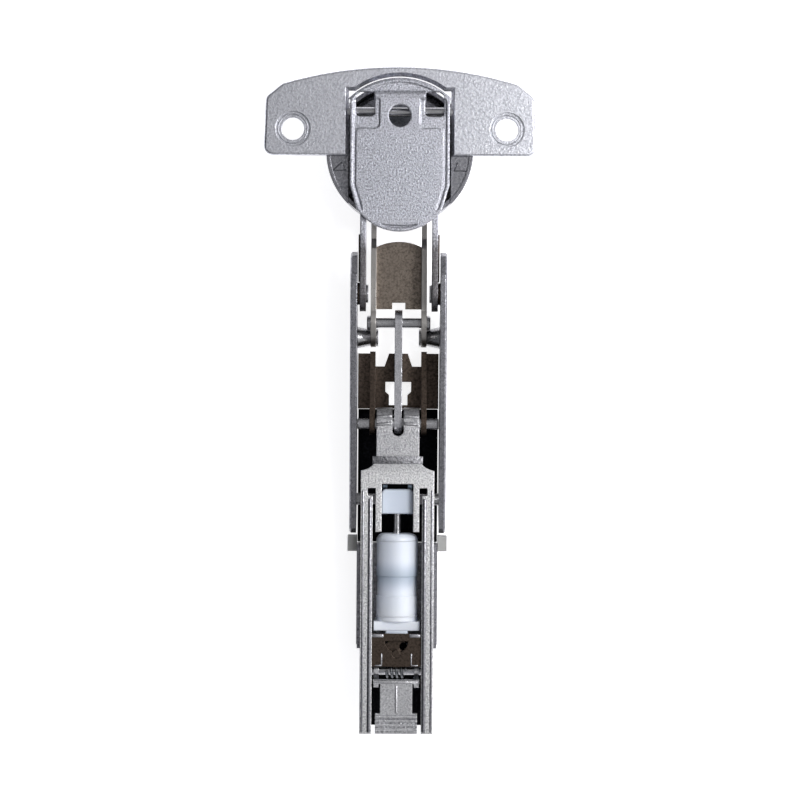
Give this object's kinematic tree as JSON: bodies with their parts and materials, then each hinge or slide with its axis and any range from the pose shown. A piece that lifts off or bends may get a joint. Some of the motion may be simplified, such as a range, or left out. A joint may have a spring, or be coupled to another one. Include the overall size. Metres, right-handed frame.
{
  "type": "concealed hinge",
  "caption": "Wide-angle concealed cabinet hinge with a 35 mm cup, a linkage of flat links, a damper and a clip arm.",
  "frame": {"origin": "centre of the 35 mm cup on the door face, at the underside of the flange", "axes": "+X across the hinge, +Y along the arm towards the cup, +Z out of the door face"},
  "size_m": [0.066, 0.1619, 0.0168],
  "materials": {
    "nickel_plate": "satin",
    "pin_steel": "satin",
    "spring_steel": "satin",
    "zinc_plate": "satin",
    "white_plastic": "matte",
    "grey_plastic": "matte"
  },
  "bodies": {
    "arm_body": {"hinge_arm": "nickel_plate", "arm_base": "nickel_plate", "stop_pads": "grey_plastic", "nose_pin": "pin_steel", "damper_cylinder": "white_plastic", "bridge_plate": "zinc_plate", "latch_pin": "pin_steel"},
    "carrier_body": {"left_carrier_plate": "nickel_plate", "right_carrier_plate": "nickel_plate", "carrier_pin": "pin_steel", "crossing_rivets": "pin_steel", "crossing_bushes": "pin_steel", "link_rivets": "pin_steel", "link_washers": "pin_steel", "damper_fork": "zinc_plate"},
    "control_body": {"control_lever": "nickel_plate", "centre_plate": "nickel_plate"},
    "inner_body": {"inner_link": "nickel_plate", "lever_pin": "pin_steel"},
    "cover_body": {"cover_link": "nickel_plate"},
    "cup_body": {"cup_bowl": "nickel_plate", "flange_plate": "nickel_plate", "cup_pin": "pin_steel", "rear_pin": "pin_steel", "closing_spring": "spring_steel"},
    "plunger_body": {"damper_head": "white_plastic", "damper_rod": "pin_steel"},
    "latch_body": {"latch_lever": "nickel_plate", "latch_spring": "spring_steel"},
    "cam_body": {"depth_cam": "zinc_plate"}
  },
  "joints": [
    {"name": "carrier_pivot", "type": "hinge", "parent": "arm_body", "child": "carrier_body", "pos_m": [0, -0.0847, -0.0066], "axis": [1, 0, 0], "range_deg": [0, 46.09]},
    {"name": "nose_pivot", "type": "hinge", "parent": "arm_body", "child": "control_body", "pos_m": [0, -0.0662, -0.00154], "axis": [1, 0, 0], "range_deg": [0, 67.01]},
    {"name": "crossing_pivot", "type": "hinge", "parent": "carrier_body", "child": "inner_body", "pos_m": [0, -0.04498, -0.00945], "axis": [1, 0, 0], "range_deg": [-95.05, 0]},
    {"name": "link_pivot", "type": "hinge", "parent": "carrier_body", "child": "cover_body", "pos_m": [0, -0.0345, -0.00092], "axis": [1, 0, 0], "range_deg": [-96.75, 0]},
    {"name": "cup_pivot", "type": "hinge", "parent": "cover_body", "child": "cup_body", "pos_m": [0, 0.0097, 0.0003], "axis": [1, 0, 0], "range_deg": [0, 122.66]},
    {"name": "damper_slide", "type": "slide", "parent": "arm_body", "child": "plunger_body", "axis": [0, -1, 0], "range_m": [0, 0.00305]},
    {"name": "latch_pivot", "type": "hinge", "parent": "arm_body", "child": "latch_body", "pos_m": [0, -0.1263, -0.0026], "axis": [1, 0, 0], "range_deg": [0, 12], "stiffness_Nm_per_rad": 0.02},
    {"name": "cam_spin", "type": "hinge", "parent": "arm_body", "child": "cam_body", "pos_m": [0, -0.1219, 0.0022], "axis": [0, 0, 1], "range_deg": [-75, 75]}
  ],
  "couplings": [
    {"joint": "nose_pivot", "follows": "carrier_pivot", "ratio": 1.4529},
    {"joint": "crossing_pivot", "follows": "carrier_pivot", "ratio": -2.0613},
    {"joint": "link_pivot", "follows": "carrier_pivot", "ratio": -2.0981},
    {"joint": "cup_pivot", "follows": "carrier_pivot", "ratio": 2.6603},
    {"joint": "damper_slide", "follows": "carrier_pivot", "m_per_rad": 0.0037793}
  ]
}
